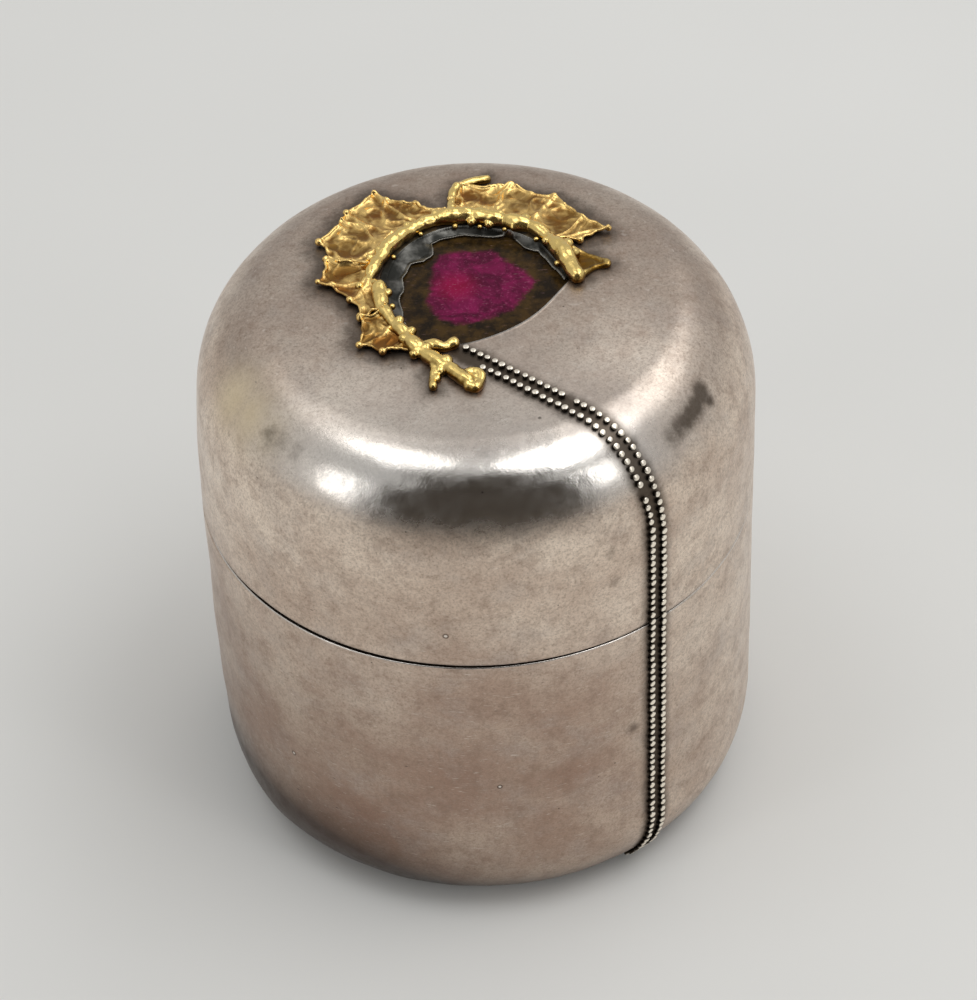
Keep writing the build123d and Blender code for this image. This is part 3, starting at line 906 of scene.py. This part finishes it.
def bezel():
    """Sheet that falls from the edge of the window to the stone and ends in a torn edge."""
    rng = random.Random(9)
    torn = np.array(swayed(TORN_EDGE, 0.0, BEZEL_SWAY, rng))
    turn = np.linspace(*BEZEL_ENDS, BEZEL_STEPS)
    rim, edge = window_ring(turn, BEZEL_LAP), window_ring(turn, 0.0)

    def height(plan):
        flat = np.column_stack([plan, np.zeros(len(plan))])
        radius = np.hypot(*plan.T)
        fall, ends = line_gap(plan, edge), line_gap(plan, torn)
        within = inside(about_window(plan, BEZEL_MARGIN), np.vstack([edge, torn]))
        share = np.where(within, fall / (fall + ends + TINY), 0.0)
        top, low = OUTSIDE.crown_z(radius) + BEZEL_OVER_CROWN, INSIDE.crown_z(radius) + BEZEL_OVER_STONE
        curl = CURL_LIFT * np.exp(-ends / CURL_REACH) * (CURL_MEAN + wobble(flat, CURL_LENGTH, 2.0))
        fallen = top + (low - top) * np.clip(share * BEZEL_FALL, 0, 1)
        return fallen + curl + BUCKLE_LIFT * wobble(flat, BUCKLE_LENGTH, 4.0)

    obj = sheet("torn_bezel", np.vstack([rim, torn]), height, BEZEL_GRID, BEZEL_THICKNESS)
    attribute(obj, "torn", line_gap(vertex_values(obj, "co")[:, :2] / MM, torn))
    return obj


# Materials

# Colour sockets of the mix node
MIX_FIRST = 6
MIX_SECOND = 7
MIX_RESULT = 2


class Paint:
    """Node material that works in millimetres of the object."""

    def __init__(self, name):
        self.material = bpy.data.materials.new(name)
        self.material.use_nodes = True
        self.tree = self.material.node_tree
        self.shader = self.tree.nodes["Principled BSDF"]
        metres = self.add("TexCoord", {}, "Object")
        self.place = self.add("VectorMath", {0: metres, "Scale": 1 / MM}, 0, operation="SCALE")
        self.colour = None

    def put(self, value, socket):
        if isinstance(value, bpy.types.NodeSocket):
            self.tree.links.new(value, socket)
        elif isinstance(value, tuple):
            socket.default_value = (*value, 1.0)
        else:
            socket.default_value = value

    def add(self, kind, inputs, output, **settings):
        """New node with its settings and inputs; gives one output."""
        node = self.tree.nodes.new("ShaderNode" + kind)
        for key, value in settings.items():
            setattr(node, key, value)
        for key, value in inputs.items():
            self.put(value, node.inputs[key])
        return node.outputs[output]

    def noise(self, size, detail=4.0, rough=0.55, distort=0.0, vector=None):
        inputs = {"Scale": 1 / size, "Detail": detail, "Roughness": rough, "Distortion": distort}
        return self.add("TexNoise", inputs | {"Vector": vector or self.place}, "Fac")

    def cells(self, size, vector=None, feature="F1"):
        inputs = {"Scale": 1 / size, "Vector": vector or self.place}
        return self.add("TexVoronoi", inputs, "Distance", feature=feature)

    def stretched(self, x, y, z):
        return self.add("VectorMath", {0: self.place, 1: Vector((x, y, z))}, "Vector", operation="MULTIPLY")

    def distance(self, x, y, z):
        return self.add("VectorMath", {0: self.place, 1: Vector((x, y, z))}, "Value", operation="DISTANCE")

    def given(self, name):
        return self.add("Attribute", {}, "Fac", attribute_name=name)

    def step(self, value, low, high, start=0.0, end=1.0):
        inputs = {"Value": value, "From Min": low, "From Max": high, "To Min": start, "To Max": end}
        return self.add("MapRange", inputs, "Result", interpolation_type="SMOOTHSTEP")

    def math(self, operation, a, b=0.0):
        return self.add("Math", {0: a, 1: b}, 0, operation=operation)

    def plus(self, a, b):
        return self.math("ADD", a, b)

    def times(self, a, b):
        return self.math("MULTIPLY", a, b)

    def larger(self, a, b):
        return self.math("MAXIMUM", a, b)

    def mix(self, share, a, b):
        return self.add("Mix", {0: share, MIX_FIRST: a, MIX_SECOND: b}, MIX_RESULT, data_type="RGBA")

    def coat(self, share, colour):
        """Lays one more colour over what is there."""
        self.colour = self.mix(share, self.colour, colour)

    def bump(self, height, depth, strength, under=None):
        inputs = {"Strength": strength, "Distance": depth * MM, "Height": height}
        return self.add("Bump", inputs | ({"Normal": under} if under else {}), "Normal")

    def finish(self, metallic, roughness, normal, **more):
        named = {"Base Color": self.colour, "Metallic": metallic, "Roughness": roughness, "Normal": normal}
        named.update({key.replace("_", " "): value for key, value in more.items()})
        for key, value in named.items():
            self.put(value, self.shader.inputs[key])
        return self.material


# Colours of the silver, its tarnish and its grime, and the painted shade and light on it
WARM_SILVER = (0.91, 0.775, 0.65)
TAN_SILVER = (0.71, 0.57, 0.465)
CROWN_TARNISH = (0.36, 0.297, 0.258)
PALE_SILVER_AND_HIGHLIGHT = (1.0, 0.88, 0.755)
AGED_TARNISH = (0.25, 0.15, 0.1)
BROWN_TARNISH_AND_REFLECTION = (0.27, 0.13, 0.085)
PINK_TARNISH = (0.33, 0.2, 0.15)
ASHEN_TARNISH = (0.52, 0.46, 0.42)
MOTTLED_TARNISH = (0.3, 0.2, 0.15)
SPECKED_TARNISH = (0.26, 0.18, 0.13)
FINE_TARNISH = (0.28, 0.2, 0.15)
GRAINY_TARNISH = (0.27, 0.2, 0.15)
SCRATCHED_SILVER = (0.88, 0.8, 0.72)
STREAKED_SILVER = (0.8, 0.74, 0.67)
FOOT_PAINTED_SHADOW = (0.055, 0.034, 0.025)
CLEAN_SILVER = (0.84, 0.83, 0.8)
YELLOW_PATCH_COLOUR = (1.0, 0.84, 0.56)
DARK_TARNISH = (0.075, 0.056, 0.04)
PIT_DARK = (0.05, 0.04, 0.03)
RING_DARK = (0.11, 0.08, 0.06)
RING_BRIGHT = (0.85, 0.8, 0.74)
SEAM_GRIME_AND_SHADE = (0.045, 0.035, 0.027)
INNER_PALE = (0.66, 0.62, 0.57)
INNER_GREY = (0.52, 0.46, 0.4)
INNER_LINES = (0.36, 0.3, 0.25)
INNER_GRIME_AND_SHADE = (0.035, 0.028, 0.022)
GRANULE_FOOT = (0.045, 0.035, 0.026)
GRANULE_TOP = (1.0, 0.92, 0.79)
OXIDE_BLACK = (0.03, 0.03, 0.027)
OXIDE_GREY = (0.19, 0.185, 0.17)
TORN_GREY = (0.42, 0.4, 0.36)

# Colours of the gold, the stone and the stage
GOLD_BRIGHT = (1.0, 0.735, 0.26)
GOLD_SHADE = (0.2, 0.107, 0.017)
LEAF_BRIGHT = (1.0, 0.69, 0.25)
LEAF_SHADE = (0.27, 0.145, 0.036)
STONE_CRIMSON = (0.07, 0.003, 0.022)
STONE_PINK = (0.2, 0.008, 0.066)
STONE_HEART_RED = (0.3, 0.003, 0.045)
STONE_FLECK = (0.38, 0.085, 0.18)
RIND_BLACK = (0.013, 0.008, 0.004)
RIND_OLIVE = (0.062, 0.034, 0.009)
RIND_FLECK = (0.12, 0.074, 0.022)
STONE_SCRATCH = (0.34, 0.2, 0.2)
PAPER_GREY = (0.755, 0.755, 0.735)
PAPER_PALE = (0.785, 0.785, 0.765)
CLOTH_BLACK = (0.05, 0.04, 0.031)
CLOTH_BROWN = (0.075, 0.06, 0.047)


def satin_silver():
    """Worn silver: warm grey with pinkish and brown tarnish, cleaner where hands rub it, with painted
    shadow round the foot, low on the left and in the seam, and painted highlight and dark reflection in
    some patches.
    """
    p = Paint("satin_silver")
    cloud = p.noise(16.0, 5.0, 0.62, 0.3)
    blush = p.noise(9.0, 5.0, 0.65, 0.2, p.stretched(1.0, 1.0, 1.4))
    mottle = p.noise(2.6, 6.0, 0.7)
    grain = p.noise(0.3, 3.0, 0.7)
    streaks = p.noise(0.5, 3.0, 0.6, 0.0, p.stretched(1.0, 1.0, 6.0))
    age, rub = p.given("age"), p.given("rub")
    clean = p.larger(p.given("clean"), rub)
    p.colour = p.mix(p.step(cloud, 0.34, 0.7), WARM_SILVER, TAN_SILVER)
    p.coat(p.times(p.given("crown"), 0.4), CROWN_TARNISH)
    # Paler patches: partly cleaner silver, partly painted highlight about the shoulder's highlights and
    # painted light on the body's right
    p.coat(p.given("pale_and_highlight"), PALE_SILVER_AND_HIGHLIGHT)
    p.coat(p.times(age, 0.45), AGED_TARNISH)
    # Brown patches: partly brown tarnish, partly painted dark reflection down the front of the body
    p.coat(p.given("brown_and_reflection"), BROWN_TARNISH_AND_REFLECTION)
    pink = p.times(p.step(blush, 0.36, 0.74), p.step(age, 0.0, 1.0, 0.25, 0.6))
    p.coat(pink, PINK_TARNISH)
    ashen = p.noise(8.0, 5.0, 0.65, 0.2, p.stretched(1.0, 1.0, 1.3))
    p.coat(p.step(ashen, 0.45, 0.75, 0.0, 0.4), ASHEN_TARNISH)
    p.coat(p.step(mottle, 0.45, 0.72, 0.0, 0.42), MOTTLED_TARNISH)
    p.coat(p.step(p.noise(1.0, 5.0, 0.7), 0.55, 0.75, 0.0, 0.48), SPECKED_TARNISH)
    p.coat(p.step(p.noise(0.55, 4.0, 0.75), 0.42, 0.7, 0.0, 0.4), FINE_TARNISH)
    p.coat(p.step(grain, 0.46, 0.74, 0.0, 0.55), GRAINY_TARNISH)
    scratches = p.noise(0.45, 2.0, 0.5, 0.0, p.stretched(0.3, 0.4, 2.4))
    p.coat(p.step(scratches, 0.64, 0.76, 0.0, 0.4), SCRATCHED_SILVER)
    p.coat(p.step(streaks, 0.55, 0.75, 0.0, 0.28), STREAKED_SILVER)
    # Painted contact shadow round the foot and painted shade low on the left
    p.coat(p.times(p.given("foot"), 0.92), FOOT_PAINTED_SHADOW)
    p.coat(p.times(clean, 0.8), CLEAN_SILVER)
    # A bright yellow patch on the left shoulder
    p.coat(p.given("yellow"), YELLOW_PATCH_COLOUR)
    worn = p.step(mottle, 0.3, 0.7, -0.35, 0.35)
    # Dark patches on the shoulders and the body
    dark_patch = p.step(p.plus(p.given("dark_patch"), p.times(worn, 0.25)), 0.2, 0.75, 0.0, 0.85)
    dark_patch = p.times(dark_patch, p.step(p.given("dark_patch"), 0.05, 0.3))
    uneven_gap = p.plus(p.given("gold_gap"), p.times(worn, 2.2))
    near_gold = p.step(uneven_gap, 0.2, 3.8, 0.82, 0.0)
    near_row = p.step(p.plus(p.given("row_gap"), worn), 0.0, 2.1, 0.94, 0.0)
    dark = p.larger(p.larger(near_gold, near_row), dark_patch)
    p.coat(dark, DARK_TARNISH)
    pit = p.step(p.cells(5.5), 0.014, 0.032, 0.8, 0.0)
    nick = p.step(p.cells(9.0, p.stretched(1.0, 1.0, 3.0)), 0.015, 0.04, 0.7, 0.0)
    p.coat(p.larger(pit, nick), PIT_DARK)
    rough = p.plus(p.step(mottle, 0.3, 0.75, 0.0, 0.12), p.step(cloud, 0.3, 0.7, 0.27, 0.33))
    rough = p.math("SUBTRACT", rough, p.times(clean, 0.15))
    rough = p.plus(rough, p.times(dark, 0.12))
    normal = p.bump(p.noise(4.5, 2.0, 0.5), 0.05, 0.5)
    normal = p.bump(p.cells(2.6, feature="SMOOTH_F1"), 0.05, 0.65, normal)
    normal = p.bump(p.noise(1.1, 3.0, 0.6), 0.03, 0.65, normal)
    normal = p.bump(grain, 0.011, 0.6, normal)
    normal = p.bump(streaks, 0.012, 0.35, normal)
    for x, y, z, radius in RINGS:
        gap = p.distance(x, y, z)
        ring = p.math("ABSOLUTE", p.math("SUBTRACT", gap, radius))
        mark = p.step(ring, 0.04, 0.16, 1.0, 0.0)
        p.coat(p.times(mark, 0.75), RING_DARK)
        p.coat(p.step(gap, 0.5 * radius, 0.8 * radius, 0.8, 0.0), RING_BRIGHT)
        normal = p.bump(mark, 0.05, 0.7, normal)
    # Seam faces painted dark: partly grime, partly the shade in the seam's gap
    p.coat(p.given("grime"), SEAM_GRIME_AND_SHADE)
    rough = p.larger(rough, p.times(p.given("grime"), 0.7))
    return p.finish(1.0, rough, normal)


def inner_silver():
    """Cleaner silver inside, with a dark line at the seam that is partly grime and partly painted shade of
    the gap.
    """
    p = Paint("inner_silver")
    cloud = p.noise(12.0, 5.0, 0.6, 0.4)
    turned = p.noise(0.5, 3.0, 0.6, 0.0, p.stretched(0.3, 0.3, 6.0))
    p.colour = p.mix(p.step(cloud, 0.35, 0.7), INNER_PALE, INNER_GREY)
    p.coat(p.step(turned, 0.5, 0.75, 0.0, 0.35), INNER_LINES)
    # Grime and painted shade round the foot of the collar, inside the seam's gap
    p.coat(p.given("grime"), INNER_GRIME_AND_SHADE)
    rough = p.plus(p.step(turned, 0.3, 0.7, 0.0, 0.1), p.step(cloud, 0.3, 0.7, 0.26, 0.36))
    return p.finish(1.0, rough, p.bump(turned, 0.015, 0.4))


def granule_silver():
    """Bright worn tops over dark oxidised feet."""
    p = Paint("granule_silver")
    mottle = p.noise(0.7, 4.0, 0.6)
    rise = p.plus(p.given("rise"), p.step(mottle, 0.3, 0.7, -0.09, 0.09))
    top = p.step(rise, 0.6, 0.84)
    p.colour = p.mix(top, GRANULE_FOOT, GRANULE_TOP)
    return p.finish(1.0, p.step(top, 0.0, 1.0, 0.5, 0.3), p.bump(p.noise(0.25, 3.0), 0.02, 0.5))


def dark_silver():
    """Oxidised silver, mottled nearly black and grey, and grey along its torn edge."""
    p = Paint("oxidised_silver")
    mottle = p.noise(3.6, 4.0, 0.55, 0.3)
    p.colour = p.mix(p.step(mottle, 0.38, 0.68), OXIDE_BLACK, OXIDE_GREY)
    p.coat(p.step(p.given("torn"), 0.06, 0.26, 0.7, 0.0), TORN_GREY)
    return p.finish(1.0, p.step(mottle, 0.3, 0.7, 0.42, 0.3), p.bump(p.noise(0.6, 4.0), 0.02, 0.4))


def gold(name, bright, shade, low, high, rough, crinkle):
    """Melted gold: bright on its crests and up-facing tops, dark in its hollows and on its flanks and
    undersides, partly wear and patina and partly painted light and shade.
    """
    p = Paint(name)
    flow = p.noise(2.2, 5.0, 0.6, 0.8)
    cloud = p.noise(5.0, 4.0, 0.6, 0.3)
    grain = p.noise(0.4, 4.0, 0.65)
    # Crests and up-facing tops lighter, hollows, flanks and undersides darker: partly wear and patina,
    # partly painted light and shade
    crest_and_painted_light = p.plus(p.given("crest_and_painted_light"), p.step(flow, 0.3, 0.7, -0.22, 0.22))
    red = tuple(part * share for part, share in zip(shade, (0.95, 0.72, 0.6)))
    p.colour = p.mix(p.step(crest_and_painted_light, low, high), p.mix(p.step(cloud, 0.42, 0.66), shade, red), bright)
    p.coat(p.step(grain, 0.5, 0.8, 0.0, 0.4), tuple(0.5 * part for part in shade))
    worn = p.step(crest_and_painted_light, low, high, rough + 0.14, rough)
    finish = p.plus(p.step(grain, 0.3, 0.8, 0.0, 0.12), worn)
    normal = p.bump(p.cells(1.1, feature="SMOOTH_F1"), crinkle, 0.6, p.bump(flow, 0.1, 0.45))
    return p.finish(1.0, finish, p.bump(grain, 0.03, 0.5, normal))


def tourmaline():
    """Slice of stone with a crimson core and a dark olive rind."""
    p = Paint("tourmaline")
    cloud = p.noise(3.2, 5.0, 0.62, 0.8)
    fleck = p.noise(0.45, 4.0, 0.7)
    depth = p.plus(p.given("core"), p.step(p.noise(1.8, 4.0, 0.6), 0.3, 0.7, -0.3, 0.3))
    pink = p.mix(p.step(cloud, 0.34, 0.68), STONE_CRIMSON, STONE_PINK)
    pink = p.mix(p.step(p.given("heart"), 0.2, 4.6, 0.65, 0.0), pink, STONE_HEART_RED)
    pink = p.mix(p.step(fleck, 0.53, 0.74, 0.0, 0.55), pink, STONE_FLECK)
    rind = p.mix(p.step(p.noise(2.4, 5.0, 0.65), 0.36, 0.68), RIND_BLACK, RIND_OLIVE)
    rind = p.mix(p.step(fleck, 0.55, 0.8, 0.0, 0.5), rind, RIND_FLECK)
    p.colour = p.mix(p.step(depth, -0.55, 0.5), rind, pink)
    scratches = p.noise(0.5, 2.0, 0.5, 0.0, p.stretched(0.35, 2.6, 1.0))
    p.coat(p.step(scratches, 0.66, 0.76, 0.0, 0.35), STONE_SCRATCH)
    normal = p.bump(fleck, 0.02, 0.35, p.bump(cloud, 0.08, 0.3))
    rough = p.step(cloud, 0.3, 0.7, 0.16, 0.28)
    return p.finish(0.0, rough, normal, IOR=1.63, Specular_IOR_Level=0.08)


# The object

def dress(obj, material):
    obj.data.materials.clear()
    obj.data.materials.append(material)


def piece(obj, body_name, material, node):
    """Gives an object its material, and sets it in place of a node."""
    dress(obj, material)
    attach(obj, body_name)
    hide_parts(node)


SILVER = satin_silver()
INNER = inner_silver()
GRANULE = granule_silver()
DARK = dark_silver()
GOLD = gold("melted_gold", GOLD_BRIGHT, GOLD_SHADE, low=0.12, high=0.98, rough=0.17, crinkle=0.03)
LEAF = gold("gold_leaf", LEAF_BRIGHT, LEAF_SHADE, low=0.38, high=0.98, rough=0.22, crinkle=0.09)
STONE = tourmaline()

piece(lid(), "lid", SILVER, "lid_shell")
piece(body(), "body", SILVER, "body_shell")
piece(collar(), "body", INNER, "body_collar")
piece(stone(), "lid", STONE, "tourmaline_slice")
piece(bezel(), "lid", DARK, "ragged_bezel")
for part, profile in (("lid", lid_profile()), ("body", body_profile())):
    for side, row, start, lost, seed in ROWS:
        gap = lost if part == "lid" else None
        beads = granules(part + "_beads_" + side, profile, row, start, gap, seed)
        piece(beads, part, GRANULE, part + "_granules_" + side)
# The arc is painted brighter for the light that falls on it
piece(rods("gold_arc_rod", [ARC], ARC_LUMPS, 11, painted_light=0.28), "lid", GOLD, "gold_arc")
branches = rods("gold_branch_rod", [BRANCH, FORK, SPUR, FLARE], BRANCH_LUMPS, 12)
piece(branches, "lid", GOLD, "gold_branch")
piece(rods("gold_prong_rod", [PRONG], PRONG_LUMPS, 13), "lid", GOLD, "gold_top_prong")
piece(rods("gold_loop_wire", [LOOP], [], 14, loop_film()), "lid", GOLD, "gold_right_loop")
piece(droplets(), "lid", GOLD, "gold_droplets")
for name, edge, side, seed, painted_light in LEAVES:
    wing = leaf("gold_leaf_" + name, edge, side, seed, painted_light)
    piece(wing, "lid", LEAF, "gold_" + name + "_wing")
dress(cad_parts["stone_tray"], INNER)


# Stage, lights and camera in metres

TARGET = Vector((0.0, 0.0, 0.06))
TABLE_PLACE = (0.0, 0.525, 0.0)
TABLE_SIZE = (3.2, 2.75)
LOW_CARD_PLACE = (0.0, -1.0, 0.4)
LOW_CARD_SIZE = (1.75, 1.26)
HIGH_CARD_SIZE = (0.9, 0.42)
SKY_COLOUR = (1.0, 0.995, 0.985, 1.0)
SKY_STRENGTH = 0.5

# Softboxes: name, degrees to the right of the camera, degrees up, metres away, size and brightness
SOFTBOXES = [("right_overhead", 66, 65, 1.1, (0.6, 0.5), 2.8),
             ("right_back", 128, 54, 1.2, (0.8, 0.6), 1.25),
             ("left_overhead", -74, 70, 1.1, (0.5, 0.42), 1.75),
             ("left_back", -138, 58, 1.2, (0.6, 0.5), 0.4),
             ("right_strip", 51, 28, 1.0, (0.17, 0.4), 2.2),
             ("left_strip", -56, 21, 1.0, (0.19, 0.4), 1.7)]


def towards(azimuth, elevation, distance):
    """Place seen from the box: degrees to the right of the camera, degrees up, metres away."""
    turn, tilt = math.radians(azimuth), math.radians(elevation)
    flat = math.cos(tilt)
    return TARGET + distance * Vector((math.sin(turn) * flat, -math.cos(turn) * flat, math.sin(tilt)))


def facing(place):
    return (TARGET - place).to_track_quat("-Z", "Y").to_euler()


def card(name, place, rotation, size, material):
    bpy.ops.mesh.primitive_plane_add(size=1.0, location=place, rotation=rotation)
    obj = bpy.context.object
    obj.name = name
    obj.scale = (*size, 1.0)
    dress(obj, material)
    return obj


def softbox(name, place, size, radiance):
    light = bpy.data.lights.new(name, "AREA")
    light.shape = "RECTANGLE"
    light.size, light.size_y = size
    light.energy = radiance * math.pi * size[0] * size[1]
    obj = add_object(name, light)
    obj.location = place
    obj.rotation_euler = facing(place)


def pale_paper():
    p = Paint("pale_paper")
    p.colour = p.mix(p.step(p.noise(60.0, 3.0), 0.3, 0.7), PAPER_GREY, PAPER_PALE)
    return p.finish(0.0, 0.85, p.bump(p.noise(1.2, 3.0), 0.02, 0.2), Specular_IOR_Level=0.2)


def dark_cloth():
    p = Paint("dark_cloth")
    p.colour = p.mix(p.noise(300.0), CLOTH_BLACK, CLOTH_BROWN)
    return p.finish(0.0, 0.9, p.bump(p.noise(2.0), 0.2, 0.3))


card("table", TABLE_PLACE, (0, 0, 0), TABLE_SIZE, pale_paper())
cloth = dark_cloth()
above_camera = towards(0, 52, 1.2)
dark_cards = [card("dark_low", LOW_CARD_PLACE, (math.radians(90), 0, 0), LOW_CARD_SIZE, cloth),
              card("dark_high", above_camera, facing(above_camera), HIGH_CARD_SIZE, cloth)]

# The dark cards show only as reflections
for dark_card in dark_cards:
    dark_card.visible_camera = False
    dark_card.visible_diffuse = False
    dark_card.visible_shadow = False

for name, azimuth, elevation, distance, size, radiance in SOFTBOXES:
    softbox(name, towards(azimuth, elevation, distance), size, radiance)

world = bpy.data.worlds.new("studio")
bpy.context.scene.world = world
world.use_nodes = True
sky = world.node_tree.nodes["Background"]
sky.inputs["Color"].default_value = SKY_COLOUR
sky.inputs["Strength"].default_value = SKY_STRENGTH

CAMERA_TILT = 0.748
CAMERA_DISTANCE = 0.5433
CAMERA_ROLL = -0.0398
CAMERA_AIM = Vector((0.0014, 0.0, 0.04648))
CAMERA_LENS = 133.42
SENSOR_WIDTH = 36.0
NEAREST = 0.01
camera = add_object("camera", bpy.data.cameras.new("camera"))
bpy.context.scene.camera = camera
camera.data.sensor_width = SENSOR_WIDTH
camera.data.lens = CAMERA_LENS
camera.data.clip_start = NEAREST
back = Vector((0.0, -math.cos(CAMERA_TILT), math.sin(CAMERA_TILT)))
up = Vector((0.0, math.sin(CAMERA_TILT), math.cos(CAMERA_TILT)))
axes = Matrix((Vector((1.0, 0.0, 0.0)), up, back)).transposed().to_4x4()
place = Matrix.Translation(CAMERA_AIM + back * CAMERA_DISTANCE)
camera.matrix_world = place @ axes @ Matrix.Rotation(CAMERA_ROLL, 4, "Z")

bpy.context.scene.view_settings.view_transform = "Standard"
